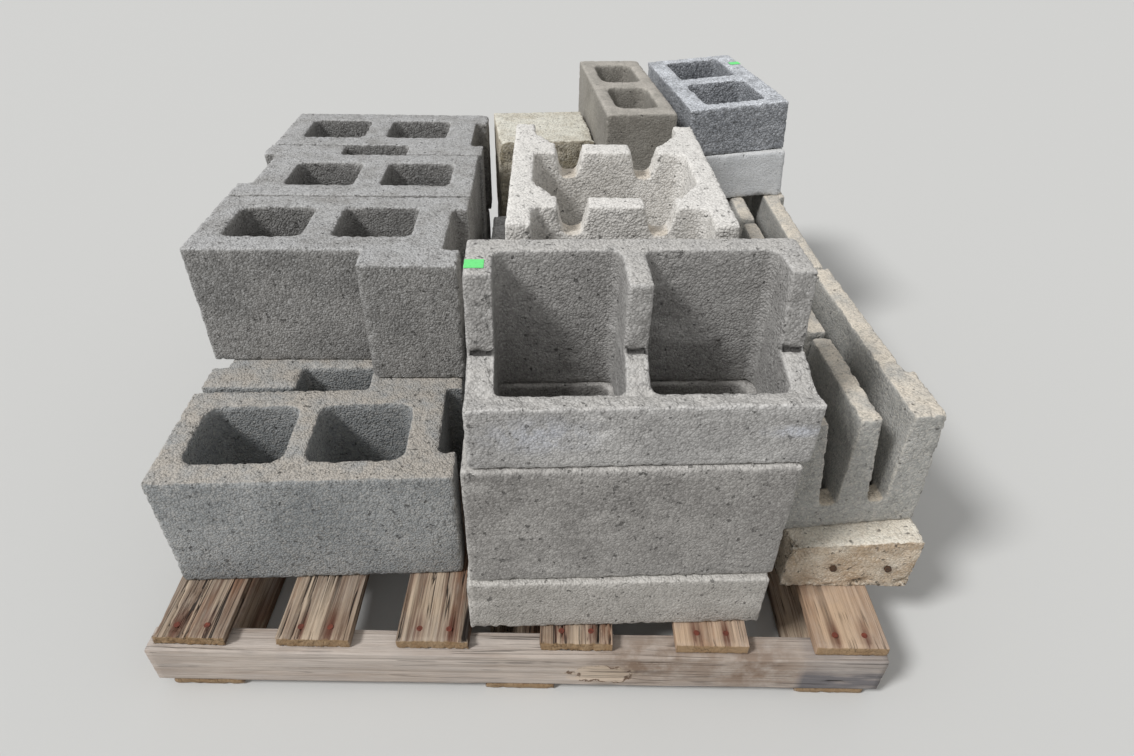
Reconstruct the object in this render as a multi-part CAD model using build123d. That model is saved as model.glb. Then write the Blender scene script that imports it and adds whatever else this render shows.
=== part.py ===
from build123d import *
from math import radians, sin, tan
import os

# A loaded pallet: a wooden stringer pallet that carries loose concrete masonry units.
# Millimetres, +Z up. The origin is the centre of the pallet's footprint, on the ground.
# X runs along the stringers, Y along the deck boards, and the side seen first faces -Y.

# Pallet
PALLET_LENGTH = 1000.0
PALLET_DEPTH = 1219.2
STRINGER_THICKNESS = 38.1
STRINGER_HEIGHT = 68.5
DECK_BOARD_THICKNESS = 17.5
BOTTOM_BOARD_THICKNESS = 15.5
BOARD_WIDTH = 99.0
BOARD_SETBACK = 8.5
BOTTOM_BOARD_SETBACK = 1.5
DECK_BOARD_CENTRES = (-442.0, -276.0, -115.5, 76.5, 260.0, 449.0)
BOTTOM_BOARD_INSET = 16.0
NAIL_SPREAD = 40.0
NAIL_SETBACK = 29.0
NAIL_HEAD_DIAMETER = 8.0
NAIL_HEAD_THICKNESS = 1.6
NAIL_SHANK_DIAMETER = 3.4
NAIL_LENGTH = 57.0

# Masonry units
BLOCK_LENGTH = 396.9
BLOCK_WIDTH = 193.7
BLOCK_HEIGHT = 193.7
HALF_HIGH = 92.1
ARRIS = 3.0
OVERCUT = 1.0

# Corner block
RETURN_DEPTH = 49.0
RETURN_LENGTH = 142.0
CORNER_SHELL = 46.0
CORNER_END_WEB = 43.0
CORNER_MIDDLE_WEB = 46.0
CORNER_NOTCH_WEB = 54.0
CORNER_NOTCH_DEPTH = 24.0
CORNER_EAR = 52.0
CORE_RADIUS = 12.0
CORE_DRAFT = 2.4

# Two-core block
SHELL = 32.0
END_WEB = 34.0
MIDDLE_WEB = 33.0

# Broken block: a two-core block whose upper front is missing. Each web's break is given by how
# far back and how high its foot is, and how far back it is at the top
BROKEN_SHELL = 33.0
BROKEN_LEFT_WEB = 33.0
BROKEN_MIDDLE_WEB = (180.0, 209.0)
BROKEN_RIGHT_WEB = 30.5
SHELL_BREAK_HEIGHTS = (90.0, 82.0)
END_WEB_BREAK = (92.0, 99.0, 105.0)
MIDDLE_WEB_BREAK = (78.0, 108.0, 79.0)

# Knock-out block
KNOCK_WIDTH = 295.3
KNOCK_SHELL = 33.0
KNOCK_FRONT_EAR = 55.0
KNOCK_FRONT_WEB = 34.0
KNOCK_CELL = 169.0
KNOCK_BACK_WEB = 42.0
KNOCK_SLOT_CENTRES = (86.0, 202.0)
KNOCK_SLOT_TOP_WIDTH = 42.0
KNOCK_SLOT_FLOOR_WIDTH = 24.0
KNOCK_SLOT_DEPTH = 40.0
KNOCK_SLOT_RADIUS = 9.0
KNOCK_FILLET = 14.0
KNOCK_FLARE_WIDTH = 31.0
KNOCK_FLARE_LENGTH = 55.0

# Narrow block
NARROW_WIDTH = 133.0
NARROW_SHELL = 28.0
NARROW_END_WEB = 40.0
NARROW_MIDDLE_WEB = 42.0
NARROW_CORE_RADIUS = 20.0

# Half block
HALF_BLOCK_WIDTH = 190.5

# Half-high blocks on the right
COARSE_SHELL = 38.0
COARSE_END_WEB = 31.0
COARSE_MIDDLE_WEB = 44.0

# Slotted block
SLOTTED_MIDDLE_SHELL = 27.5
SLOT_TOP_WIDTH = 40.0
SLOT_BOTTOM_WIDTH = 22.0
SLOT_WEB_HEIGHT = 45.0
SLOT_WEB_LENGTH = 34.0
BAND_LENGTH = 95.0
BAND_STEP = 12.0
MIDDLE_SHELL_BREAK = 14.0

# Sill
SILL_WIDTH = 184.0
SILL_LENGTH = 1016.0
SILL_LOW_HEIGHT = 82.0
SILL_SLOPE = 4.65
REBAR_DIAMETER = 9.5
REBAR_CENTRES = (69.0, 147.0)
REBAR_HEIGHT = 40.0
REBAR_PROUD = 1.0

# Blank labels
LABEL_LENGTH = 22.0
LABEL_WIDTH = 20.0
LABEL_THICKNESS = 0.4
LABEL_INSET = 1.5
BROKEN_LABEL_START = 118.0
COARSE_LABEL_START = 300.0

# How the load stands on the pallet, seen from above
LOAD_TURN = 2.12
LEFT_OVERHANG = 3.2
LEFT_SETBACK = 116.3
JOINT = 2.0
LOWER_FRONT_TURN = 1.28
LOWER_FRONT_SHIFT = 1.6
UPPER_SETBACK = 272.1
UPPER_BACK_SHIFT = 6.5
STACK_GAP = 17.3
STACK_SETBACK = 32.0
STACK_BOTTOM_TURN = 0.51
STACK_MIDDLE_SHIFT = (4.6, 5.6)
STACK_MIDDLE_TURN = 0.88
STACK_TOP_SHIFT = (12.5, 9.3)
STACK_TOP_TURN = 1.03
KNOCK_GAP = (69.6, 40.8)
KNOCK_TURN = -0.76
HALF_BLOCK_GAP = (35.1, 176.4)
HALF_BLOCK_TURN = 5.9
NARROW_GAP = (8.5, 86.6)
NARROW_TURN = 4.4
SUPPORT_LEDGE = 50.0
SUPPORT_INSET = 10.0
SUPPORT_BACK = 66.0
SILL_GAP = 44.4
SILL_SETBACK = 93.8
SILL_TURN = -1.75
ROW_SHIFT = (-9.3, 32.8)
ROW_TURN = 3.18
ROW_MIDDLE_SHIFT = (-6.4, 11.0)
ROW_MIDDLE_TURN = -2.5
ROW_BACK_SHIFT = (4.0, 14.0)
SMOOTH_START = 714.0
SMOOTH_TURN = -1.0
COARSE_START = 712.4
COARSE_TURN = 3.5

# Levels above the deck
DECK_TOP = BOTTOM_BOARD_THICKNESS + STRINGER_HEIGHT + DECK_BOARD_THICKNESS
COURSE_TOP = BLOCK_HEIGHT
STACK_MIDDLE_TOP = HALF_HIGH + BLOCK_HEIGHT
STACK_TOP = STACK_MIDDLE_TOP + BLOCK_HEIGHT
NARROW_BASE = 3 * HALF_HIGH

# Where the load's parts start, in its own turned frame
LEFT_X = -PALLET_LENGTH / 2 - LEFT_OVERHANG
LEFT_Y = LEFT_SETBACK - PALLET_DEPTH / 2
STACK_Y = STACK_SETBACK - PALLET_DEPTH / 2
SILL_Y = SILL_SETBACK - PALLET_DEPTH / 2

LOAD = Pos(0, 0, DECK_TOP) * Rot(0, 0, LOAD_TURN)


def plan(x0, x1, y0, y1):
    """A rectangle in plan from its low and high sides."""
    return Pos((x0 + x1) / 2, (y0 + y1) / 2) * Rectangle(x1 - x0, y1 - y0)


def rounded_plan(x0, x1, y0, y1, radius):
    """The same rectangle with its four corners rounded."""
    return Pos((x0 + x1) / 2, (y0 + y1) / 2) * RectangleRounded(x1 - x0, y1 - y0, radius)


def brick(x0, x1, y0, y1, z0, z1):
    """A plain box from its low and high sides."""
    return Pos(0, 0, z0) * extrude(plan(x0, x1, y0, y1), z1 - z0)


def core(x0, x1, y0, y1, height, radius):
    """A straight rounded hole through a unit."""
    return extrude(rounded_plan(x0, x1, y0, y1, radius), height)


def drafted_core(x0, x1, y0, y1, height, radius, draft):
    """A rounded hole that has its given size at the top and widens downwards."""
    cut = extrude(rounded_plan(x0, x1, y0, y1, radius), height, taper=-draft)
    return Pos(0, 0, height) * mirror(cut, about=Plane.XY)


def at(part, x, y, z, turn=0.0):
    """A unit moved by its near left corner and turned about it, in the load's frame."""
    return LOAD * Pos(x, y, z) * Rot(0, 0, turn) * part


def turned_about(part, length, width):
    """A unit turned half round on its footprint, its body still on the same rectangle."""
    return Pos(length, width) * Rot(0, 0, 180) * part


def two_core_block(length, width, height, shell, end_web, middle_web, radius):
    """A rectangular block with two cores right through it."""
    body = extrude(rounded_plan(0, length, 0, width, ARRIS), height)
    middle = length / 2
    for x0, x1 in (
        (end_web, middle - middle_web / 2),
        (middle + middle_web / 2, length - end_web),
    ):
        body -= core(x0, x1, shell, width - shell, height, radius)
    return body


def corner_block():
    """An L-corner block: a body with a return at one end, two cores and an end notch."""
    outline = Polygon(
        (0, 0),
        (BLOCK_LENGTH - RETURN_LENGTH, 0),
        (BLOCK_LENGTH - RETURN_LENGTH, -RETURN_DEPTH),
        (BLOCK_LENGTH, -RETURN_DEPTH),
        (BLOCK_LENGTH, BLOCK_WIDTH),
        (0, BLOCK_WIDTH),
        align=None,
    )
    body = extrude(fillet(outline.vertices(), ARRIS), BLOCK_HEIGHT)
    cores_end = BLOCK_LENGTH - CORNER_NOTCH_WEB - CORNER_NOTCH_DEPTH
    core_length = (cores_end - CORNER_END_WEB - CORNER_MIDDLE_WEB) / 2
    for x0 in (CORNER_END_WEB, CORNER_END_WEB + core_length + CORNER_MIDDLE_WEB):
        body -= drafted_core(
            x0,
            x0 + core_length,
            CORNER_SHELL,
            BLOCK_WIDTH - CORNER_SHELL,
            BLOCK_HEIGHT,
            CORE_RADIUS,
            CORE_DRAFT,
        )
    body -= brick(
        BLOCK_LENGTH - CORNER_NOTCH_DEPTH,
        BLOCK_LENGTH + CORNER_NOTCH_DEPTH,
        CORNER_EAR - RETURN_DEPTH,
        BLOCK_WIDTH - CORNER_EAR,
        0,
        BLOCK_HEIGHT,
    )
    return body


def corner_block_upside_down():
    """The corner block laid on its other bed, so that its return is at the back."""
    flipped = Rot(180, 0, 0) * corner_block()
    return Pos(0, BLOCK_WIDTH, BLOCK_HEIGHT) * flipped


def missing_front(x0, x1, foot_reach, foot_height, top_reach):
    """What has broken away in front of a web, over part of the block's length."""
    outer, inner = SHELL_BREAK_HEIGHTS
    top = BLOCK_HEIGHT + OVERCUT
    profile = Polygon(
        (-OVERCUT, outer),
        (BROKEN_SHELL, inner),
        (foot_reach, foot_height),
        (top_reach, top),
        (-OVERCUT, top),
        align=None,
    )
    return Pos(x0, 0, 0) * extrude(Plane.YZ * profile, x1 - x0)


def broken_block():
    """A two-core block that has lost its front shell and the webs' front ends above half height."""
    body = extrude(rounded_plan(0, BLOCK_LENGTH, 0, BLOCK_WIDTH, ARRIS), BLOCK_HEIGHT)
    web_start, web_end = BROKEN_MIDDLE_WEB
    for x0, x1 in (
        (BROKEN_LEFT_WEB, web_start),
        (web_end, BLOCK_LENGTH - BROKEN_RIGHT_WEB),
    ):
        body -= core(x0, x1, BROKEN_SHELL, BLOCK_WIDTH - BROKEN_SHELL, BLOCK_HEIGHT, CORE_RADIUS)
    left, right = web_start - CORE_RADIUS, web_end + CORE_RADIUS
    body -= missing_front(-OVERCUT, left, *END_WEB_BREAK)
    body -= missing_front(left, right, *MIDDLE_WEB_BREAK)
    body -= missing_front(right, BLOCK_LENGTH + OVERCUT, *END_WEB_BREAK)
    return body


def knock_out_slot(x, y0, y1):
    """A slot cut down into a cross web, wider at the top than at its rounded floor."""
    floor = BLOCK_HEIGHT - KNOCK_SLOT_DEPTH
    half_floor = KNOCK_SLOT_FLOOR_WIDTH / 2
    half_reach = KNOCK_SLOT_TOP_WIDTH - half_floor
    profile = Polygon(
        (x - half_floor, floor),
        (x + half_floor, floor),
        (x + half_reach, BLOCK_HEIGHT + KNOCK_SLOT_DEPTH),
        (x - half_reach, BLOCK_HEIGHT + KNOCK_SLOT_DEPTH),
        align=None,
    )
    profile = fillet(profile.vertices().sort_by(Axis.Y)[:2], KNOCK_SLOT_RADIUS)
    return Pos(0, y1, 0) * Rot(90, 0, 0) * extrude(profile, y1 - y0)


def flared_cell(x0, x1, y0, y1):
    """A cell whose two near corners are cut off by a long flare of the web there."""
    outline = Polygon(
        (x0, y0 + KNOCK_FLARE_LENGTH),
        (x0 + KNOCK_FLARE_WIDTH, y0),
        (x1 - KNOCK_FLARE_WIDTH, y0),
        (x1, y0 + KNOCK_FLARE_LENGTH),
        (x1, y1),
        (x0, y1),
        align=None,
    )
    return extrude(fillet(outline.vertices(), KNOCK_FILLET), BLOCK_HEIGHT)


def knock_out_block():
    """Two long shells joined by two slotted cross webs, with open ends between the ears."""
    front_web = (KNOCK_FRONT_EAR, KNOCK_FRONT_EAR + KNOCK_FRONT_WEB)
    back_web = (front_web[1] + KNOCK_CELL, front_web[1] + KNOCK_CELL + KNOCK_BACK_WEB)
    inner = (KNOCK_SHELL, KNOCK_WIDTH - KNOCK_SHELL)
    body = extrude(rounded_plan(0, KNOCK_WIDTH, 0, BLOCK_LENGTH, ARRIS), BLOCK_HEIGHT)
    reach = 2 * KNOCK_FILLET
    body -= core(*inner, -reach, front_web[0], BLOCK_HEIGHT, KNOCK_FILLET)
    body -= flared_cell(*inner, front_web[1], back_web[0])
    body -= flared_cell(*inner, back_web[1], BLOCK_LENGTH + reach)
    reach_behind = KNOCK_BACK_WEB + KNOCK_FLARE_LENGTH
    for web_start in (front_web[0], back_web[0]):
        for x in KNOCK_SLOT_CENTRES:
            body -= knock_out_slot(x, web_start - OVERCUT, web_start + reach_behind)
    return body


def narrow_block():
    """A narrow two-core block, laid with its length along Y."""
    block = two_core_block(
        BLOCK_LENGTH,
        NARROW_WIDTH,
        BLOCK_HEIGHT,
        NARROW_SHELL,
        NARROW_END_WEB,
        NARROW_MIDDLE_WEB,
        NARROW_CORE_RADIUS,
    )
    return Pos(NARROW_WIDTH, 0, 0) * Rot(0, 0, 90) * block


def half_high_lengthwise():
    """A half-high two-core block, laid with its length along Y."""
    block = two_core_block(
        BLOCK_LENGTH,
        BLOCK_WIDTH,
        HALF_HIGH,
        COARSE_SHELL,
        COARSE_END_WEB,
        COARSE_MIDDLE_WEB,
        CORE_RADIUS,
    )
    return Pos(BLOCK_WIDTH, 0, 0) * Rot(0, 0, 90) * block


def slotted_block(length, band_at_back=False, middle_shell_broken=True):
    """Three shells along Y joined by low webs: two slots open at the top and narrow downwards.

    The outer faces step out at one end, over the length of a band. In a full-length unit the
    middle shell is parted halfway along.
    """
    body = brick(BAND_STEP, BLOCK_WIDTH - BAND_STEP, 0, length, 0, BLOCK_HEIGHT)
    band = (length - BAND_LENGTH, length) if band_at_back else (0, BAND_LENGTH)
    body += brick(0, BLOCK_WIDTH, *band, 0, BLOCK_HEIGHT)
    middle = BLOCK_WIDTH / 2
    offset = SLOTTED_MIDDLE_SHELL / 2 + SLOT_TOP_WIDTH / 2
    half_top = SLOT_TOP_WIDTH / 2
    half_bottom = SLOT_BOTTOM_WIDTH / 2
    webs = (0, (length - SLOT_WEB_LENGTH) / 2, length - SLOT_WEB_LENGTH)
    for x in (middle - offset, middle + offset):
        profile = Polygon(
            (x - half_top, BLOCK_HEIGHT),
            (x - half_bottom, SLOT_WEB_HEIGHT),
            (x + half_bottom, SLOT_WEB_HEIGHT),
            (x + half_top, BLOCK_HEIGHT),
            align=None,
        )
        body -= Pos(0, length, 0) * Rot(90, 0, 0) * extrude(profile, length)
        for y0, y1 in zip(webs, webs[1:]):
            body -= brick(
                x - half_bottom, x + half_bottom, y0 + SLOT_WEB_LENGTH, y1, 0, BLOCK_HEIGHT
            )
    if middle_shell_broken:
        body -= brick(
            middle - SLOTTED_MIDDLE_SHELL,
            middle + SLOTTED_MIDDLE_SHELL,
            (length - MIDDLE_SHELL_BREAK) / 2,
            (length + MIDDLE_SHELL_BREAK) / 2,
            SLOT_WEB_HEIGHT,
            BLOCK_HEIGHT,
        )
    return body


def sill_frame():
    """Where the sill's near left bottom corner lies."""
    x = LEFT_X + 2 * BLOCK_LENGTH + STACK_GAP + SILL_GAP
    return LOAD * Pos(x, SILL_Y, 0) * Rot(0, 0, SILL_TURN)


def row_frame():
    """The sill's sloping top, turned as the row on it is turned."""
    return (
        sill_frame()
        * Pos(0, 0, SILL_LOW_HEIGHT)
        * Rot(0, -SILL_SLOPE, 0)
        * Pos(*ROW_SHIFT, 0)
        * Rot(0, 0, ROW_TURN)
    )


def rebars():
    """Two bars along the sill."""
    bars = []
    for x in REBAR_CENTRES:
        rod = extrude(Circle(REBAR_DIAMETER / 2), SILL_LENGTH + 2 * REBAR_PROUD)
        bars.append(Pos(x, SILL_LENGTH + REBAR_PROUD, REBAR_HEIGHT) * Rot(90, 0, 0) * rod)
    return bars


def sill():
    """A precast bar whose top slopes up towards +X."""
    high = SILL_LOW_HEIGHT + SILL_WIDTH * tan(radians(SILL_SLOPE))
    profile = Polygon((0, 0), (SILL_WIDTH, 0), (SILL_WIDTH, high), (0, SILL_LOW_HEIGHT), align=None)
    body = Pos(0, SILL_LENGTH, 0) * Rot(90, 0, 0) * extrude(profile, SILL_LENGTH)
    for bar in rebars():
        body -= bar
    return body


def stringers():
    """Three boards on edge along X."""
    front = -PALLET_DEPTH / 2
    starts = (front, -STRINGER_THICKNESS / 2, -front - STRINGER_THICKNESS)
    low, high = BOTTOM_BOARD_THICKNESS, BOTTOM_BOARD_THICKNESS + STRINGER_HEIGHT
    return [
        brick(-PALLET_LENGTH / 2, PALLET_LENGTH / 2, y, y + STRINGER_THICKNESS, low, high)
        for y in starts
    ]


def board(centre, low, high, setback):
    """One board along Y, across all the stringers."""
    reach = PALLET_DEPTH / 2 - setback
    return brick(centre - BOARD_WIDTH / 2, centre + BOARD_WIDTH / 2, -reach, reach, low, high)


def nails():
    """Two nails where each deck board crosses each stringer, driven flush."""
    edge = PALLET_DEPTH / 2 - NAIL_SETBACK
    nail = Pos(0, 0, -NAIL_LENGTH) * extrude(Circle(NAIL_SHANK_DIAMETER / 2), NAIL_LENGTH)
    nail += Pos(0, 0, -NAIL_HEAD_THICKNESS) * extrude(
        Circle(NAIL_HEAD_DIAMETER / 2), NAIL_HEAD_THICKNESS
    )
    return [
        Pos(centre + side * NAIL_SPREAD / 2, y, DECK_TOP) * nail
        for centre in DECK_BOARD_CENTRES
        for y in (-edge, 0, edge)
        for side in (-1, 1)
    ]


def without(part, others):
    """A part with holes for the others that reach into its box."""
    box = part.bounding_box()
    for other in others:
        reach = other.bounding_box()
        apart = (
            reach.min.X > box.max.X
            or reach.max.X < box.min.X
            or reach.min.Y > box.max.Y
            or reach.max.Y < box.min.Y
        )
        if not apart:
            part -= other
    return part


def pallet():
    """The pallet's nodes."""
    fasteners = nails()
    nodes = {"pallet_nails": Compound(fasteners)}
    for name, part in zip(("front", "middle", "back"), stringers()):
        nodes[f"stringer_{name}"] = without(part, fasteners)
    for number, centre in enumerate(DECK_BOARD_CENTRES, 1):
        plank = board(centre, DECK_TOP - DECK_BOARD_THICKNESS, DECK_TOP, BOARD_SETBACK)
        nodes[f"deck_board_{number}"] = without(plank, fasteners)
    outer = (PALLET_LENGTH - BOARD_WIDTH) / 2 - BOTTOM_BOARD_INSET
    for name, centre in (("left", -outer), ("middle", 0), ("right", outer)):
        plank = board(centre, 0, BOTTOM_BOARD_THICKNESS, BOTTOM_BOARD_SETBACK)
        nodes[f"bottom_board_{name}"] = plank
    return nodes


def left_column():
    """Seven corner blocks in two courses, nested return to return."""
    lower = corner_block_upside_down()
    lower_turned = turned_about(lower, BLOCK_LENGTH, BLOCK_WIDTH)
    upper = corner_block()
    upper_turned = turned_about(upper, BLOCK_LENGTH, BLOCK_WIDTH)
    pair = BLOCK_WIDTH + JOINT
    nest = BLOCK_WIDTH + RETURN_DEPTH + JOINT
    x = LEFT_X + LOWER_FRONT_SHIFT
    second = LEFT_Y + nest + BLOCK_LENGTH * sin(radians(LOWER_FRONT_TURN))
    third = second + pair
    y = LEFT_Y + UPPER_SETBACK
    return {
        "corner_block_lower_front": at(lower, x, LEFT_Y, 0, LOWER_FRONT_TURN),
        "corner_block_lower_second": at(lower_turned, x, second, 0),
        "corner_block_lower_third": at(lower, x, third, 0),
        "corner_block_lower_back": at(lower_turned, x, third + nest, 0),
        "corner_block_upper_front": at(upper, LEFT_X, y, COURSE_TOP),
        "corner_block_upper_middle": at(upper_turned, x, y + pair, COURSE_TOP),
        "corner_block_upper_back": at(upper, LEFT_X + UPPER_BACK_SHIFT, y + pair + nest, COURSE_TOP),
    }


def two_core(height):
    """A two-core block of the given height."""
    return two_core_block(
        BLOCK_LENGTH, BLOCK_WIDTH, height, SHELL, END_WEB, MIDDLE_WEB, CORE_RADIUS
    )


def stack_place(level_shift):
    """The near left corner of a block in the centre stack."""
    return (LEFT_X + BLOCK_LENGTH + STACK_GAP + level_shift[0], STACK_Y + level_shift[1])


def centre_stack():
    """A half-high block, a full block on it and a broken block on top."""
    return {
        "half_high_block_bottom": at(
            two_core(HALF_HIGH), *stack_place((0, 0)), 0, STACK_BOTTOM_TURN
        ),
        "full_block": at(
            two_core(BLOCK_HEIGHT),
            *stack_place(STACK_MIDDLE_SHIFT),
            HALF_HIGH,
            STACK_MIDDLE_TURN,
        ),
        "broken_block": at(
            broken_block(), *stack_place(STACK_TOP_SHIFT), STACK_MIDDLE_TOP, STACK_TOP_TURN
        ),
    }


def middle_group():
    """The blocks behind the centre stack, each on a plain support."""
    stack_back = STACK_Y + STACK_TOP_SHIFT[1] + BLOCK_WIDTH
    knock = (LEFT_X + BLOCK_LENGTH + KNOCK_GAP[0], stack_back + KNOCK_GAP[1])
    knock_back = knock[1] + BLOCK_LENGTH
    half = (LEFT_X + BLOCK_LENGTH + HALF_BLOCK_GAP[0], knock_back + HALF_BLOCK_GAP[1])
    narrow = (half[0] + HALF_BLOCK_WIDTH + NARROW_GAP[0], knock_back + NARROW_GAP[1])
    knock_support = brick(
        -SUPPORT_LEDGE,
        KNOCK_WIDTH - SUPPORT_INSET,
        SUPPORT_INSET,
        BLOCK_LENGTH + SUPPORT_BACK,
        0,
        STACK_MIDDLE_TOP,
    )
    narrow_support = brick(0, NARROW_WIDTH, 0, BLOCK_LENGTH, 0, NARROW_BASE)
    half_plan = (0, HALF_BLOCK_WIDTH, 0, BLOCK_WIDTH)
    half_support = brick(*half_plan, 0, COURSE_TOP)
    half_block = brick(*half_plan, 0, BLOCK_HEIGHT)
    return {
        "knock_out_block": at(knock_out_block(), *knock, STACK_MIDDLE_TOP, KNOCK_TURN),
        "knock_out_support": at(knock_support, *knock, 0, KNOCK_TURN),
        "narrow_block": at(narrow_block(), *narrow, NARROW_BASE, NARROW_TURN),
        "narrow_support": at(narrow_support, *narrow, 0, NARROW_TURN),
        "half_block": at(half_block, *half, COURSE_TOP, HALF_BLOCK_TURN),
        "half_support": at(half_support, *half, 0, HALF_BLOCK_TURN),
    }


def right_row():
    """The sill, the slotted blocks along its sloping top, and two half-high blocks on them."""
    row = row_frame()
    middle_y = BLOCK_LENGTH + ROW_MIDDLE_SHIFT[1]
    back_y = middle_y + BLOCK_LENGTH + ROW_BACK_SHIFT[1]
    flat = half_high_lengthwise()
    return {
        "sill": sill_frame() * sill(),
        "sill_rebars": sill_frame() * Compound(rebars()),
        "slotted_block_front": row * slotted_block(BLOCK_LENGTH),
        "slotted_block_middle": row
        * Pos(ROW_MIDDLE_SHIFT[0], middle_y, 0)
        * Rot(0, 0, ROW_MIDDLE_TURN)
        * slotted_block(BLOCK_LENGTH, band_at_back=True),
        "slotted_block_back": row
        * Pos(ROW_BACK_SHIFT[0], back_y, 0)
        * slotted_block(BLOCK_WIDTH, middle_shell_broken=False),
        "smooth_half_high_block": row
        * Pos(0, SMOOTH_START, BLOCK_HEIGHT)
        * Rot(0, 0, SMOOTH_TURN)
        * flat,
        "coarse_half_high_block": row
        * Pos(0, COARSE_START, BLOCK_HEIGHT + HALF_HIGH)
        * Rot(0, 0, COARSE_TURN)
        * flat,
    }


def labels():
    """Two small blank stickers lying on the tops of the broken and the coarse block."""
    sticker = brick(0, LABEL_LENGTH, 0, LABEL_WIDTH, 0, LABEL_THICKNESS)
    on_broken = at(
        Pos(LABEL_INSET, BROKEN_LABEL_START, 0) * sticker,
        *stack_place(STACK_TOP_SHIFT),
        STACK_TOP,
        STACK_TOP_TURN,
    )
    on_coarse = (
        row_frame()
        * Pos(0, COARSE_START, BLOCK_HEIGHT + 2 * HALF_HIGH)
        * Rot(0, 0, COARSE_TURN)
        * Pos(BLOCK_WIDTH - LABEL_LENGTH - LABEL_INSET, COARSE_LABEL_START, 0)
        * sticker
    )
    return {"blank_labels": Compound([on_broken, on_coarse])}


os.makedirs("parts", exist_ok=True)
for group in (pallet(), left_column(), centre_stack(), middle_group(), right_row(), labels()):
    for name, part in group.items():
        export_step(part, f"parts/{name}.step")
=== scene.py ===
from math import cos, sin
import bpy
import numpy as np
from mathutils import Matrix, Vector


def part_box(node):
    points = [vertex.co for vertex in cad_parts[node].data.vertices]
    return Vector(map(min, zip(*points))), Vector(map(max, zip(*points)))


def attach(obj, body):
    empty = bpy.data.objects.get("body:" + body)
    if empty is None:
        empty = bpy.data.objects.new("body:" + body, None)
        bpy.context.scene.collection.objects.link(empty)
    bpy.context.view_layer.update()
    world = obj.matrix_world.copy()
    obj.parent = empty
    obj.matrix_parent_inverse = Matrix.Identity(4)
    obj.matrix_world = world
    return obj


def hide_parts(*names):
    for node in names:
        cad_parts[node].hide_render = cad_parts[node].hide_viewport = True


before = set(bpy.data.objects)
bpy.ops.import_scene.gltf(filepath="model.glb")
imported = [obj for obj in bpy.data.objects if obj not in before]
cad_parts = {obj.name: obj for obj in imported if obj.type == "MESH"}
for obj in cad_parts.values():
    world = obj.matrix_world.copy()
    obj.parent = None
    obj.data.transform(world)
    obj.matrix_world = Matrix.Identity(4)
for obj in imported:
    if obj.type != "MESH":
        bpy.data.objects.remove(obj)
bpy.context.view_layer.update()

# A wooden pallet with a load of used concrete blocks. Metres, in the frame of the solids.

# Camera, at the photograph's place and angle
CAMERA_PLACE = Vector((0.0485, -1.1536, 0.9552))
CAMERA_YAW = 0.0116
CAMERA_PITCH = 0.6401
CAMERA_ROLL = 0.0262
CAMERA_LENS = 22.70
SENSOR_WIDTH = 36.0

# Mesh steps of the worn blocks, and the share of their triangles that is kept
FINE = 0.0030
HALF_BLOCK_STEP = 0.0028
MEDIUM = 0.0040
COARSE = 0.009
KEPT_SHARE = 0.45

# Mesh steps of the wood, across and along its grain
DECK_STEPS = (0.0019, 0.009)
FRONT_STRINGER_STEPS = (0.0025, 0.009)
BACK_STRINGER_STEPS = (0.004, 0.015)
HIDDEN_STEPS = (0.006, 0.03)

# Relief on concrete. The passes are those that rub an arris off and that break it off, at the fine
# step. ARRIS is the radius of the solids' upright edges.
RUBBING_PASSES = 2
BREAKING_PASSES = 16
CRACK_DEPTH = 0.005
ARRIS = 0.003
RETURN_RADIUS = 0.014
DUST_FADE = 0.004

# Depths on concrete: the half block's pores, broken corner and ragged edge, the sill's rough
# front, crumbled lower edge and worn corner, and the broken block's floor and web ends
HALF_BLOCK_PORES = 0.0022
HALF_BLOCK_CORNER = 0.007
HALF_BLOCK_EDGE = 0.006
SILL_FRONT = 0.0022
SILL_LOW_EDGE = 0.009
SILL_CORNER = 0.010
BREAK_COARSENESS = 0.004
WEB_END_COARSENESS = 0.0022

# Relief on wood
GROOVE_DEPTH = 0.0012
WOOD_CRACK_DEPTH = 0.006
SAWN_DEPTH = 0.0002
RAGGED_END = 0.0012
GOUGE_DEPTH = 0.004
GRAIN_WANDER = 0.006

# The direction of the grain
ALONG_X = 0
ALONG_Y = 1

# On the front stringer: its knot as a place and a radius, a gouge as a place and half its sizes,
# where its damp end starts along X and how high up, and the brown patches as places and radii
KNOT = ((0.114, -0.6096, 0.044), 0.019)
GOUGE = ((0.436, 0.034), (0.018, 0.0022))
DAMP_START = (0.380, 0.392)
DAMP_TOP = (0.068, 0.048)
BROWN_PATCHES = (((0.176, -0.6096, 0.068), 0.045), ((0.315, -0.6096, 0.058), 0.05))

# How much shorter a distance along the grain counts in the knot, in a patch and in a nail's rust,
# and how far the grain's swerve round the knot is stretched along it
KNOT_SQUEEZE = 0.45
PATCH_SQUEEZE = 0.6
RUST_SQUEEZE = 0.32
SWERVE_STRETCH = 2.2

# The radii where a nail's rust is full and where it ends, and more than the width of a nail's head
RUST_STAIN = (0.002, 0.012)
NAIL_WIDTH = 0.012

# On the broken block, in its own frame, with heights from its base and depths from its front face.
# Each pair is where a soft step starts and ends. A foot is the depth and height of a crack.
BREAK_FLOOR_FROM = (0.074, 0.08)
BREAK_FLOOR_TO = (0.12, 0.125)
WEB_ENDS_ABOVE = (0.09, 0.1)
WEB_ENDS_BEHIND = (0.05, 0.06)
WEB_ENDS_DEPTH = 0.16
WEB_ENDS_FADE = 0.03
BEHIND_FRONT = (0.012, 0.02)
MIDDLE_WEB = (0.17, 0.22)
MIDDLE_FOOT = (0.078, 0.108)
OUTER_FOOT = (0.092, 0.099)
FOOT_WANDER = 0.002
FOOT_CRACK = (0.0015, 0.005)

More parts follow.
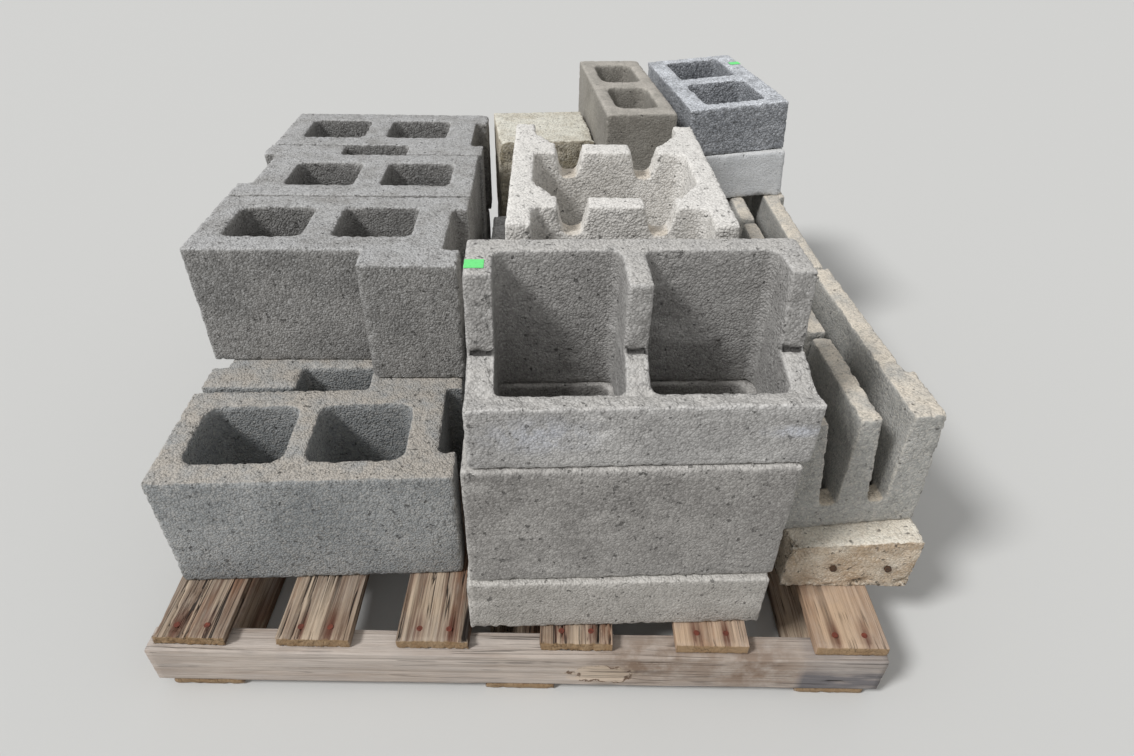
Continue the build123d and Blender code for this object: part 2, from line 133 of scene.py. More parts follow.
# Marks on the broken block as colour, share, place and sizes: two mortar smears, a painted-shade
# hole
BROKEN_MARKS = (
    ((214, 217, 226), 0.75, (0.3132, -0.5505, 0.438), (0.036, 0.02, 0.009)),
    ((204, 207, 216), 0.55, (0.03, -0.566, 0.437), (0.064, 0.02, 0.026)),
    # Painted shade of a small hole, with no hole in the mesh
    ((62, 58, 54), 0.85, (0.249, -0.393, 0.451), (0.008, 0.012, 0.009)),
)

# Textures of concrete
PIT_SIZE = 0.008
GRAIN_BEND = 0.0035

# Colours, from 0 to 255
# Painted shade for the gaps between concrete's grains, its pits and its cracks
CREVICE_SHADE = (46, 44, 42)
# Painted shade inside the wood's cracks, checks and gouge
WOOD_CRACK_SHADE = (30, 23, 19)
WOOD_END = (152, 123, 86)
KNOT_FACE = (206, 186, 163)
KNOT_RIM = (104, 82, 65)
DAMP_GREY = (104, 102, 106)
RUST_BROWN = (96, 54, 38)
LABEL_BRIGHT = (120, 240, 140)
LABEL_DULL = (86, 190, 104)
FLOOR_GREY = (206, 206, 204)

# Floor and light
FLOOR_HALF = 12.0
SUN_DIRECTION = (-0.8, -0.45, 1.0)
SUN_STRENGTH = 2.3
SUN_SOFTNESS = 0.22
SKY_STRENGTH = 0.5


def linear(colour):
    """An sRGB colour from 0 to 255 as the linear colour that a shader takes."""
    out = []
    for value in colour:
        value = value / 255
        out.append(value / 12.92 if value <= 0.04045 else ((value + 0.055) / 1.055) ** 2.4)
    return (*out, 1.0)


# Noise on points

def lattice(ix, iy, iz, seed):
    """A fixed random value from 0 to 1 for each lattice point, by an integer hash."""
    h = (ix * 374761393 + iy * 668265263 + iz * 1440662683 + seed * 1274126177) & 0xFFFFFFFF
    h = ((h ^ (h >> 13)) * 1103515245) & 0xFFFFFFFF
    h = ((h ^ (h >> 15)) * 2246822519) & 0xFFFFFFFF
    return ((h ^ (h >> 16)) & 0xFFFF) / 65535.0


def noise(points, size, seed):
    """Smooth noise from -1 to 1, with cells of one size or one size for each axis."""
    q = points / size
    base = np.floor(q).astype(np.int64)
    t = q - base
    t = t * t * (3 - 2 * t)
    total = np.zeros(len(points))
    for dx in (0, 1):
        for dy in (0, 1):
            for dz in (0, 1):
                weight = (
                    (t[:, 0] if dx else 1 - t[:, 0])
                    * (t[:, 1] if dy else 1 - t[:, 1])
                    * (t[:, 2] if dz else 1 - t[:, 2])
                )
                total += weight * lattice(base[:, 0] + dx, base[:, 1] + dy, base[:, 2] + dz, seed)
    return 2 * total - 1


def rough(points, size, seed, octaves=3):
    """Noise with finer and fainter noise added."""
    size = np.asarray(size, float)
    total = sum(noise(points, size / 2**k, seed + 17 * k) / 2**k for k in range(octaves))
    return total / (2 - 2 ** (1 - octaves))


def ramp(values, low, high):
    """0 below low, 1 above high, smooth between."""
    t = np.clip((values - low) / (high - low), 0, 1)
    return t * t * (3 - 2 * t)


# Meshes

class Surface:
    """A mesh's points, edges and normals as arrays."""

    def __init__(self, mesh):
        self.mesh = mesh
        count = len(mesh.vertices)
        self.co = np.empty(count * 3)
        mesh.vertices.foreach_get("co", self.co)
        self.co = self.co.reshape(-1, 3)
        edges = np.empty(len(mesh.edges) * 2, np.int64)
        mesh.edges.foreach_get("vertices", edges)
        self.edges = edges.reshape(-1, 2)
        self.degree = np.maximum(np.bincount(edges, minlength=count), 1)

    def relaxed(self, co, times, share=0.5):
        """The points drawn towards their neighbours, some times over."""
        a, b = self.edges.T
        count = len(co)
        for _ in range(times):
            mean = np.empty_like(co)
            for k in range(3):
                mean[:, k] = (
                    np.bincount(a, co[b, k], count) + np.bincount(b, co[a, k], count)
                ) / self.degree
            co = co + share * (mean - co)
        return co

    def write(self, co):
        self.mesh.vertices.foreach_set("co", co.ravel())
        self.mesh.update()
        self.co = co

    def normals(self):
        normals = np.empty(len(self.co) * 3)
        self.mesh.vertices.foreach_get("normal", normals)
        return normals.reshape(-1, 3)

    def attribute(self, name, values):
        layer = self.mesh.attributes.new(name, "FLOAT", "POINT")
        layer.data.foreach_set("value", np.asarray(values, np.float32))


def new_object(name, mesh):
    obj = bpy.data.objects.new(name, mesh)
    bpy.context.scene.collection.objects.link(obj)
    return obj


def applied(obj, kind, **settings):
    """Applies a modifier to the object."""
    modifier = obj.modifiers.new(kind.lower(), kind)
    for key, value in settings.items():
        setattr(modifier, key, value)
    evaluated = obj.evaluated_get(bpy.context.evaluated_depsgraph_get())
    mesh = bpy.data.meshes.new_from_object(evaluated)
    obj.modifiers.clear()
    old = obj.data
    obj.data = mesh
    bpy.data.meshes.remove(old)


def longest_edge_turn(mesh):
    """The turn about Z of the mesh's longest level edge, within 45 degrees of X or Y."""
    surface = Surface(mesh)
    a, b = surface.edges.T
    run = (surface.co[b] - surface.co[a])[:, :2]
    run = run[np.argmax(np.hypot(*run.T))]
    turn = np.arctan2(run[1], run[0])
    quarter = np.pi / 2
    return turn - quarter * np.round(turn / quarter)


def dense_copy(node, step):
    """The node's solid remeshed with cells of one size, lined up with its longest edge."""
    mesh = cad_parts[node].data.copy()
    turn = Matrix.Rotation(longest_edge_turn(mesh), 4, "Z")
    mesh.transform(turn.inverted())
    obj = new_object(node + "_worn", mesh)
    applied(obj, "REMESH", mode="VOXEL", voxel_size=step, adaptivity=0.0)
    obj.data.transform(turn)
    return obj


def finished(obj, nodes, material, share=KEPT_SHARE):
    """Thins the mesh out and hands the piece to the frame."""
    if share < 1:
        applied(obj, "DECIMATE", ratio=share)
    obj.data.polygons.foreach_set("use_smooth", [True] * len(obj.data.polygons))
    obj.data.materials.clear()
    obj.data.materials.append(material)
    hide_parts(*nodes)
    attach(obj, "root")


def passes(count, step):
    """The relaxing passes that reach as far at this step as the count does at the fine one."""
    return int(round(count * (FINE / step) ** 2)) + 1


def worn_block(
    node,
    material,
    step=FINE,
    seed=1,
    wear=0.35,
    chips=0.25,
    grain=0.0006,
    pits=0.0008,
    crumble=0.0022,
    mould=None,
    shape=None,
    crack=None,
    tint=None,
):
    """A concrete unit with rubbed arrises, chipped corners and an open surface."""
    obj = dense_copy(node, step)
    surface = Surface(obj.data)
    start = surface.co if mould is None else mould(surface.co)
    soft = surface.relaxed(start, 1, 0.3)
    rubbed_off = surface.relaxed(soft, passes(RUBBING_PASSES, step))
    broken_off = surface.relaxed(rubbed_off, passes(BREAKING_PASSES, step))
    arris = np.linalg.norm(rubbed_off - start, axis=1)
    edge = np.linalg.norm(broken_off - start, axis=1)
    rubbed = np.clip(wear + 0.55 * rough(start, 0.03, seed), 0, 1)
    chipped = ramp(rough(start, 0.022, seed + 5), 0.9 - chips, 1.05 - chips)
    co = soft + rubbed[:, None] * (rubbed_off - soft)
    co += chipped[:, None] * (broken_off - co)
    surface.write(co)
    out = surface.normals()
    depth = grain * (0.5 + 0.5 * rough(co, 0.007, seed + 9, 2))
    depth += pits * ramp(noise(co, 0.006, seed + 13), 0.35, 0.8)
    crumbled = ramp(rough(co, 0.0065, seed + 21, 2), -0.1, 0.6)
    depth += crumble * ramp(edge, 0.0006, 0.0025) * crumbled
    if shape is not None:
        depth = depth + shape(co, out)
    cracked = np.zeros(len(co)) if crack is None else crack(co)
    co = co - out * (depth + CRACK_DEPTH * cracked)[:, None]
    surface.write(co)
    surface.attribute("worn", ramp(arris, 0.0002, 0.0012) * (0.35 + 0.5 * rubbed))
    # This attribute holds dust on slot floors, and painted shade inside the broken block
    surface.attribute("tint", np.zeros(len(co)) if tint is None else tint(co, out))
    surface.attribute("crack", cracked)
    finished(obj, [node], material)


def box_grid(lo, hi, steps):
    """A closed box with its faces divided into cells about as large as the steps."""
    lo, hi = np.array(lo), np.array(hi)
    counts = np.maximum(np.round((hi - lo) / steps).astype(int), 1)
    index = {}
    points = []

    def at(key):
        if key not in index:
            index[key] = len(points)
            points.append(lo + (hi - lo) * np.array(key) / counts)
        return index[key]

    faces = []
    for axis in range(3):
        u, v = (axis + 1) % 3, (axis + 2) % 3
        for side in (0, counts[axis]):
            for i in range(counts[u]):
                for j in range(counts[v]):
                    corners = []
                    for du, dv in ((0, 0), (1, 0), (1, 1), (0, 1)):
                        key = [0, 0, 0]
                        key[axis] = int(side)
                        key[u] = i + du
                        key[v] = j + dv
                        corners.append(at(tuple(key)))
                    faces.append(corners if side else corners[::-1])
    mesh = bpy.data.meshes.new("plank")
    mesh.from_pydata([tuple(p) for p in points], [], faces)
    mesh.update()
    return mesh


def grained(along, across, lengthwise):
    """Sizes for the three axes, with one across the grain and another along it."""
    sizes = np.full(3, across)
    sizes[along] = lengthwise
    return sizes


def plank(
    node, material, along, steps, seed, weathering, knots=(), nails=(), gouges=()
):
    """A sawn board: grooves and cracks along its grain, worn ends, rust round its nails."""
    lo, hi = (np.array(corner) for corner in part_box(node))
    obj = new_object(node + "_sawn", box_grid(lo, hi, grained(along, *steps)))
    surface = Surface(obj.data)
    start = surface.co
    pull = surface.relaxed(start, 2) - start
    pull[:, along] *= steps[0] / steps[1]
    soft = start + pull
    surface.write(soft)
    out = surface.normals()
    on_end = np.abs(out[:, along])
    wander = start.copy()
    across = 1 - along
    wander[:, across] += GRAIN_WANDER * noise(start, 0.16, seed + 3)
    for place, size in knots:
        away = start - np.array(place)
        away[:, along] /= SWERVE_STRETCH
        far = np.linalg.norm(away, axis=1) / size
        wander[:, 2 if along == ALONG_X else across] += 0.5 * size * np.exp(-far * far)
    grooves = 1 - np.abs(rough(wander, grained(along, 0.0045, 0.28), seed, 2))
    valley = 1 - np.abs(noise(wander, grained(along, 0.013, 0.5), seed + 7))
    gate = grained(along, 0.03, 0.22)
    crack = ramp(valley, 0.84, 0.96) * ramp(noise(start, gate, seed + 11), -0.55, -0.1)
    fine = 1 - np.abs(noise(wander, grained(along, 0.006, 0.3), seed + 19))
    split = ramp(fine, 0.87, 0.97) * ramp(noise(start, gate / 2, seed + 23), -0.3, 0.2)
    crack = np.clip(crack + 0.6 * split, 0, 1)
    crack *= 1 - 0.8 * on_end
    relief = GROOVE_DEPTH * ramp(grooves, 0.7, 1) + WOOD_CRACK_DEPTH * crack
    co = soft - out * (weathering * relief + SAWN_DEPTH)[:, None]
    length = hi[along] - lo[along]
    for end, sign in ((lo[along], 1), (hi[along], -1)):
        near = 1 - ramp(np.abs(start[:, along] - end), 0, 0.02 * length ** 0.5)
        ragged = RAGGED_END * weathering * (0.5 + 0.5 * rough(start, 0.009, seed + 5))
        co[:, along] += sign * near * ragged
    for (middle, height), (reach, half) in gouges:
        far = np.hypot((start[:, along] - middle) / reach, (start[:, 2] - height) / half)
        hollow = (1 - ramp(far, 0.6, 1.2)) * (out[:, 1] < -0.5)
        co[:, 1] += GOUGE_DEPTH * hollow
        # The gouge's hollow counts as a crack, so it takes the cracks' painted shade
        crack = np.maximum(crack, hollow / max(weathering, 0.01))
    stain = np.zeros(len(co))
    for x, y in nails:
        away = start[:, :2] - np.array((x, y))
        away[:, along] *= RUST_SQUEEZE
        far = np.linalg.norm(away, axis=1)
        stain = np.maximum(stain, 1 - ramp(far, *RUST_STAIN))
    surface.write(co)
    surface.attribute("crack", np.clip(weathering * crack, 0, 1))
    surface.attribute("stain", stain)
    finished(obj, [node], material, share=1)


# Materials

class Shader:
    """A material's node tree, with one call for each node."""

    def __init__(self, name, roughness):
        self.material = bpy.data.materials.new(name)
        self.material.use_nodes = True
        self.tree = self.material.node_tree
        self.surface = self.tree.nodes["Principled BSDF"]
        self.surface.inputs["Roughness"].default_value = roughness
        self.coords = self.node("ShaderNodeTexCoord").outputs["Object"]

    def node(self, kind, inputs=None, **settings):
        node = self.tree.nodes.new(kind)
        for key, value in settings.items():
            setattr(node, key, value)
        for key, value in (inputs or {}).items():
            socket = node.inputs[key]
            if isinstance(value, bpy.types.NodeSocket):
                self.tree.links.new(value, socket)
            else:
                socket.default_value = value
        return node

    def noise(self, scale, detail=3, roughness=0.55, coords=None):
        inputs = {
            "Vector": coords or self.coords,
            "Scale": scale,
            "Detail": detail,
            "Roughness": roughness,
        }
        return self.node("ShaderNodeTexNoise", inputs).outputs["Fac"]

    def noise_colour(self, scale):
        inputs = {"Vector": self.coords, "Scale": scale}
        return self.node("ShaderNodeTexNoise", inputs).outputs["Color"]

    def stretched(self, scale):
        """The coordinates scaled differently along each axis."""
        inputs = {"Vector": self.coords, "Scale": scale}
        return self.node("ShaderNodeMapping", inputs).outputs["Vector"]

    def math(self, operation, a, b=0.0):
        return self.node("ShaderNodeMath", {0: a, 1: b}, operation=operation).outputs[0]

    def vector(self, operation, a, b):
        return self.node("ShaderNodeVectorMath", {0: a, 1: b}, operation=operation).outputs[0]

    def far_from(self, place, sizes):
        """The distance from a place, where 1 is the given size along each axis."""
        away = self.vector("SUBTRACT", self.coords, place)
        away = self.vector("DIVIDE", away, sizes)
        return self.node("ShaderNodeVectorMath", {0: away}, operation="LENGTH").outputs["Value"]

    def between(self, value, low, high, to_low=0.0, to_high=1.0):
        """The value from low to high, taken straight to another range."""
        inputs = {
            "Value": value,
            "From Min": low,
            "From Max": high,
            "To Min": to_low,
            "To Max": to_high,
        }
        return self.node("ShaderNodeMapRange", inputs, clamp=True).outputs["Result"]

    def mix(self, share, a, b):
        """Colour a, with a share of colour b."""
        node = self.node("ShaderNodeMix", data_type="RGBA")
        for key, value in (("Factor_Float", share), ("A_Color", a), ("B_Color", b)):
            socket = next(s for s in node.inputs if s.identifier == key)
            if isinstance(value, bpy.types.NodeSocket):
                self.tree.links.new(value, socket)
            else:
                socket.default_value = value
        return next(s for s in node.outputs if s.identifier == "Result_Color")

    def attribute(self, name):
        return self.node("ShaderNodeAttribute", attribute_name=name).outputs["Fac"]

    def facing(self, axis):
        """How far the surface faces along an axis, from -1 to 1."""
        normal = self.node("ShaderNodeNewGeometry").outputs["Normal"]
        return self.node("ShaderNodeSeparateXYZ", {"Vector": normal}).outputs[axis]

    def done(self, colour, height, depth):
        """Joins the colour and a bump whose height is in metres."""
        self.tree.links.new(colour, self.surface.inputs["Base Color"])
        bump = self.node("ShaderNodeBump", {"Height": height, "Distance": depth, "Strength": 1.0})
        self.tree.links.new(bump.outputs["Normal"], self.surface.inputs["Normal"])
        return self.material


def concrete(
    name,
    face,
    dark,
    lit_top,
    pale,
    grain_size=0.003,
    openness=0.5,
    contrast=0.6,
    pit_share=0.3,
    lit_top_share=0.85,
    smear=0.0,
    evenness=0.25,
    stain=None,
    tint=(202, 186, 162),
    dust_and_shade_share=0.6,
    marks=(),
):
    """Concrete from its face, darker, top and rubbed colours; the top colour is a painted
    highlight.

    Its surface is grains with gaps between them, and here and there a pit; the gaps, the pits and
    the cracks are darkened with painted shade. The evenness says how open the closest patches are,
    from 0 to 1. A stain is a colour, the axis that its surfaces face and how far, and a mark is a
    colour, its share, its place and its sizes. The colour that the block's own attribute lays on
    is dust on slot floors and painted shade inside the broken block.
    """
    s = Shader(name, 0.93)
    face, dark, lit_top, pale = (linear(c) for c in (face, dark, lit_top, pale))
    crevice_shade = linear(CREVICE_SHADE)
    cloud = s.between(s.noise(11, 5, 0.6), 0.38, 0.68)
    colour = s.mix(s.math("MULTIPLY", cloud, 0.75), face, dark)
    streaks = s.noise(1.0, 4, 0.55, s.stretched((7, 7, 50)))
    colour = s.mix(s.between(streaks, 0.52, 0.75, 0, 0.35), colour, dark)
    smears = s.noise(1.0, 4, 0.6, s.stretched((7, 7, 24)))
    colour = s.mix(s.between(smears, 0.56, 0.72, 0, smear), colour, pale)
    # Upward faces take the top colour: a painted highlight where the light falls on the tops
    lit_upward = s.between(s.facing("Z"), 0.55, 0.9, 0, lit_top_share)
    colour = s.mix(lit_upward, colour, s.mix(s.between(s.noise(26, 4), 0.42, 0.75), lit_top, face))
    worn = s.math("MULTIPLY", s.attribute("worn"), s.between(s.noise(90, 3), 0.3, 0.6, 0.4, 1))
    colour = s.mix(worn, colour, pale)
    # The attribute's colour: dust on the slot floors, painted shade inside the broken block
    colour = s.mix(s.math("MULTIPLY", s.attribute("tint"), dust_and_shade_share), colour, linear(tint))
    if stain is not None:
        brown, axis, low, high = stain
        reach = s.between(s.facing(axis), low, high)
        reach = s.math("MULTIPLY", reach, s.between(s.noise(18, 5, 0.65), 0.38, 0.6))
        colour = s.mix(reach, colour, linear(brown))
    for shade, share, place, sizes in marks:
        near = s.between(s.far_from(place, sizes), 0.3, 1.3, share, 0)
        near = s.math("MULTIPLY", near, s.between(s.noise(70, 4, 0.6), 0.4, 0.56, 0.25, 1))
        colour = s.mix(near, colour, linear(shade))
    bent = s.node(
        "ShaderNodeMix",
        {"Factor": GRAIN_BEND, 4: s.coords, 5: s.noise_colour(260)},
        data_type="VECTOR",
    ).outputs[1]
    grains = s.node("ShaderNodeTexVoronoi", {"Vector": bent, "Scale": 1 / grain_size})
    distance = grains.outputs["Distance"]
    tone = s.node("ShaderNodeSeparateColor", {"Color": grains.outputs["Color"]}).outputs["Red"]
    colour = s.mix(s.between(tone, 0.5, 1, 0, 0.45 * contrast), colour, pale)
    colour = s.mix(s.between(tone, 0, 0.4, 0.55 * contrast, 0), colour, dark)
    patchy = s.between(s.noise(0.35 / grain_size, 2), 0.35, 0.65, evenness, 1)
    # The gaps between the grains and the pits are darkened with painted shade
    crevice = s.math("MULTIPLY", s.between(distance, 0.36, 0.8, 0, openness), patchy)
    colour = s.mix(crevice, colour, crevice_shade)
    pit_noise = s.noise(1 / PIT_SIZE, 2, 0.5)
    pit = s.between(pit_noise, 0.72 - 0.2 * pit_share, 0.78 - 0.2 * pit_share)
    colour = s.mix(s.math("MULTIPLY", pit, 0.6), colour, crevice_shade)
    # The crack attribute, the grooves at the broken webs' feet, is darkened with painted shadow
    colour = s.mix(s.between(s.attribute("crack"), 0.3, 0.8, 0, 0.9), colour, crevice_shade)
    height = s.math("SUBTRACT", 1.0, s.math("MULTIPLY", distance, openness + 0.4))
    height = s.math("SUBTRACT", height, s.math("MULTIPLY", crevice, 0.8))
    height = s.math("SUBTRACT", height, s.math("MULTIPLY", pit, 1.2))
    height = s.math("ADD", height, s.math("MULTIPLY", s.noise(900, 2), 0.25))
    return s.done(colour, height, 0.0013)


def wood(
    name,
    light,
    dark,
    grey,
    along,
    brown=(134, 92, 66),
    greyness=0.6,
    banding=1.0,
    crispness=1.0,
    checked=0.5,
    knot=None,
    damp=None,
    patches=(),
):
    """Sawn wood with its grain along one axis, and perhaps a knot, a damp end or brown patches."""
    s = Shader(name, 0.85)
    light, dark, grey, brown = (linear(c) for c in (light, dark, grey, brown))
    crack_shade = linear(WOOD_CRACK_SHADE)

    def streaks(across, lengthwise, detail=4, roughness=0.62):
        scale = [across] * 3
        scale[along] = lengthwise
        return s.noise(1.0, detail, roughness, s.stretched(scale))

    def distance(place, size, squeeze):
        return s.far_from(place, [size / squeeze if k == along else size for k in range(3)])

    end = s.between(s.math("ABSOLUTE", s.facing("XYZ"[along])), 0.6, 0.9, 0, 0.75)
    # The long sides of boards along Y are darkened: painted shade in the gaps between boards
    side = s.between(s.math("ABSOLUTE", s.facing("YX"[along])), 0.6, 0.9, 0, 0.45)
    broad = streaks(24, 1.3)
    grain = streaks(125, 2.4, 5, 0.6)
    fibre = streaks(430, 9, 3, 0.65)
    colour = s.mix(s.between(broad, 0.42, 0.58, 0, 0.8 * banding), light, dark)
    colour = s.mix(s.between(s.noise(14, 5, 0.65), 0.4, 0.6, 0, greyness), colour, grey)
    colour = s.mix(s.between(streaks(30, 5), 0.52, 0.66, 0, 0.8 * banding), colour, brown)
    colour = s.mix(s.between(grain, 0.41, 0.47, 0.8 * crispness, 0), colour, dark)
    colour = s.mix(s.between(grain, 0.53, 0.59, 0, 0.75 * crispness), colour, light)
    colour = s.mix(s.between(fibre, 0.41, 0.47, 0.5 * crispness, 0), colour, dark)
    colour = s.mix(s.between(fibre, 0.54, 0.6, 0, 0.45 * crispness), colour, light)
    for place, size in patches:
        near = s.between(distance(place, size, PATCH_SQUEEZE), 0.3, 1.4, 0.9, 0)
        near = s.math("MULTIPLY", near, s.between(s.noise(30, 5, 0.65), 0.36, 0.56, 0.35, 1))
        colour = s.mix(near, colour, brown)
    if knot is not None:
        far = distance(*knot, KNOT_SQUEEZE)
        far = s.math("ADD", far, s.between(s.noise(70, 4), 0.3, 0.7, -0.3, 0.3))
        colour = s.mix(s.between(far, 0.85, 1.25, 0.6, 0), colour, linear(KNOT_FACE))
        rim = s.between(s.math("ABSOLUTE", s.math("SUBTRACT", far, 1.0)), 0.03, 0.1, 1, 0)
        torn = s.between(s.noise(55, 3), 0.46, 0.54)
        colour = s.mix(s.math("MULTIPLY", rim, torn), colour, linear(KNOT_RIM))
    if damp is not None:
        ends, tops = damp
        place = s.node("ShaderNodeSeparateXYZ", {"Vector": s.coords})
        wet = s.between(place.outputs[along], *ends, 0, 0.9)
        wet = s.math("MULTIPLY", wet, s.between(place.outputs[2], *tops, 0.4, 1))
        wet = s.math("MULTIPLY", wet, s.between(streaks(60, 12, 4, 0.6), 0.38, 0.55, 0.5, 1))
        colour = s.mix(wet, colour, linear(DAMP_GREY))
    # Thin checks, the cracks and the gouge are painted near-black: painted shade in them
    check = s.math("ABSOLUTE", s.math("SUBTRACT", streaks(62, 1.5, 2, 0.5), 0.5))
    check = s.between(check, 0.005, 0.013, 1, 0)
    check = s.math("MULTIPLY", check, s.between(s.noise(8, 3), 0.46, 0.54, 0, checked))
    colour = s.mix(check, colour, crack_shade)
    crack = s.between(s.attribute("crack"), 0.3, 0.7, 0, 0.97)
    colour = s.mix(crack, colour, crack_shade)
    rust = s.math("MULTIPLY", s.attribute("stain"), s.between(grain, 0.4, 0.56, 0.95, 0.45))
    colour = s.mix(rust, colour, linear(RUST_BROWN))
    # Painted shade on the boards' long sides
    if along == ALONG_Y:
        colour = s.mix(side, colour, dark)
    colour = s.mix(end, colour, linear(WOOD_END))
    height = s.math("ADD", s.math("MULTIPLY", fibre, 0.9), s.math("MULTIPLY", grain, 1.2))
    height = s.math("SUBTRACT", height, s.math("MULTIPLY", check, 1.5))
    return s.done(colour, height, 0.0018)


def rusty_steel(name, light, dark):
    """Steel under rust in patches of two colours."""
    s = Shader(name, 0.8)
    patches = s.between(s.noise(300, 4, 0.6), 0.35, 0.65)
    colour = s.mix(patches, linear(light), linear(dark))
    return s.done(colour, s.noise(700, 3), 0.0005)


def green_label():
    """Plain green paper, unevenly faded and without print."""
    s = Shader("green_label", 0.6)
    faded = s.between(s.noise(260, 3), 0.5, 0.75, 0, 0.35)
    colour = s.mix(faded, linear(LABEL_BRIGHT), linear(LABEL_DULL))
    return s.done(colour, s.noise(120, 2), 0.0006)


# Face, darker, top and rubbed colours of each concrete; the top colour is a painted highlight
GREY = ((158, 156, 153), (118, 117, 115), (194, 194, 194), (224, 224, 223))
WARM = ((168, 170, 170), (130, 134, 136), (190, 182, 171), (206, 200, 191))
STACK = ((160, 157, 153), (122, 119, 116), (206, 203, 198), (226, 223, 218))
TOP_UNIT = ((186, 184, 181), (146, 144, 142), (204, 201, 196), (232, 230, 227))
LOW_UNIT = ((180, 176, 170), (150, 146, 140), (214, 211, 205), (230, 226, 220))
PALE = ((240, 237, 232), (206, 202, 195), (236, 233, 228), (248, 245, 240))
CREAM = ((206, 198, 180), (156, 144, 122), (239, 237, 225), (246, 243, 232))
SILL = ((224, 212, 194), (180, 164, 142), (240, 234, 220), (246, 240, 228))
OLIVE = ((156, 152, 144), (124, 120, 112), (192, 186, 177), (204, 199, 190))
BEIGE = ((182, 181, 177), (146, 146, 142), (236, 225, 208), (238, 230, 216))
BLUISH = ((168, 171, 176), (112, 116, 122), (238, 242, 248), (240, 243, 248))
SMOOTH = ((214, 216, 218), (186, 188, 190), (214, 214, 212), (226, 226, 225))

grey = concrete("grey_concrete", *GREY)
stack_grey = concrete(
    "stack_grey_concrete", *STACK, openness=0.35, contrast=0.5, lit_top_share=0.75, smear=0.35
)
top_grey = concrete(
    "top_unit_concrete",
    *TOP_UNIT,
    openness=0.4,
    contrast=0.55,
    lit_top_share=0.8,
    smear=0.75,
    # Painted shade colour for the faces inside the broken block
    tint=(120, 117, 113),
    dust_and_shade_share=0.36,
    marks=BROKEN_MARKS,
)
low_grey = concrete("low_unit_concrete", *LOW_UNIT, openness=0.35, contrast=0.45, smear=0.3)
warm = concrete("warm_grey_concrete", *WARM)
pale = concrete(
    "pale_concrete", *PALE, grain_size=0.0034, openness=0.4, contrast=0.45, pit_share=0.25
)
cream = concrete(
    "cream_concrete",
    *CREAM,
    grain_size=0.0036,
    openness=0.4,
    pit_share=0.3,
    stain=((158, 148, 126), "Y", -0.4, -0.8),
)
sill_cream = concrete(
    "sill_concrete", *SILL, openness=0.35, stain=((186, 164, 138), "Y", -0.4, -0.8)
)
olive = concrete("olive_concrete", *OLIVE, openness=0.25, contrast=0.4, pit_share=0.15)
beige = concrete("beige_concrete", *BEIGE, openness=0.35, contrast=0.55, pit_share=0.15)
bluish = concrete(
    "coarse_concrete", *BLUISH, grain_size=0.0038, openness=0.55, pit_share=0.2, evenness=0.6
)
smooth = concrete("smooth_concrete", *SMOOTH, openness=0.15, contrast=0.35, pit_share=0.1)
board_wood = wood(
    "weathered_board",
    (194, 174, 151),
    (100, 74, 57),
    (160, 148, 136),
    ALONG_Y,
    greyness=0.6,
    crispness=0.75,
    checked=0.9,
)
fresh_wood = wood(
    "fresh_board",
    (198, 172, 145),
    (152, 122, 98),
    (178, 160, 145),
    ALONG_Y,
    greyness=0.7,
    banding=0.6,
    crispness=0.5,
    checked=0.5,
)
stringer_wood = wood(
    "stringer_wood",
    (200, 189, 179),
    (158, 141, 127),
    (181, 171, 163),
    ALONG_X,
    brown=(128, 105, 86),
    greyness=0.8,
    banding=0.35,
    crispness=0.5,
    checked=0.45,
    knot=KNOT,
    damp=(DAMP_START, DAMP_TOP),
    patches=BROWN_PATCHES,
)
nail_rust = rusty_steel("nail_rust", (128, 62, 44), (86, 46, 36))
bar_rust = rusty_steel("bar_rust", (92, 66, 46), (58, 44, 34))
label_green = green_label()

# Places where the units differ from one another

def facing_front(out):
    """1 where the surface faces the pallet's front."""
    return ramp(-out[:, 1], 0.6, 0.9)


def near_point(co, point, radius):
    """1 at a point, 0 beyond the radius."""
    return 1 - ramp(np.linalg.norm(co - np.array(point), axis=1), 0.2 * radius, radius)


def half_block_shape(co, out):
    """Open pores in the upright faces, a broken corner and a ragged right edge."""
    lo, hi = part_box("half_block")
    upright = 1 - ramp(np.abs(out[:, 2]), 0.3, 0.8)
    pores = HALF_BLOCK_PORES * upright * ramp(rough(co, 0.007, 351, 2), 0.1, 0.6)
    corner = near_point(co, (lo[0] + 0.014, lo[1] + 0.004, hi[2]), 0.03)
    right_edge = ramp(co[:, 0], hi[0] - 0.03, hi[0]) * ramp(co[:, 2], hi[2] - 0.02, hi[2])
    ragged = HALF_BLOCK_EDGE * right_edge * ramp(rough(co, 0.016, 357, 2), -0.2, 0.5)
    return pores + HALF_BLOCK_CORNER * corner + ragged


def sill_shape(co, out):
    """A rough front, a crumbled lower edge and a worn near left corner."""
    lo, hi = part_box("sill")
    front = facing_front(out)
    face = front * (SILL_FRONT * ramp(rough(co, 0.014, 411, 3), -0.2, 0.6) + 0.0008)
    low_edge = 1 - ramp(co[:, 2], lo[2] + 0.003, lo[2] + 0.026)
    crumbled = low_edge * front * SILL_LOW_EDGE * ramp(rough(co, 0.022, 413, 2), -0.3, 0.6)
    corner = near_point(co, (lo[0] + 0.006, lo[1] + 0.004, lo[2] + 0.08), 0.032)
    return face + crumbled + SILL_CORNER * corner


class OwnFrame:
    """A node's plan turned so that its long sides lie level, measured from its near side."""

    def __init__(self, node):
        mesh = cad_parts[node].data
        turn = longest_edge_turn(mesh)
        self.level = np.array(((cos(turn), -sin(turn)), (sin(turn), cos(turn))))
        self.corners = Surface(mesh).co[:, :2] @ self.level
        self.origin = self.corners.min(axis=0)

    def plan(self, co):
        return co[:, :2] @ self.level - self.origin

    def world(self, plan, heights):
        return np.column_stack(((plan + self.origin) @ self.level.T, heights))


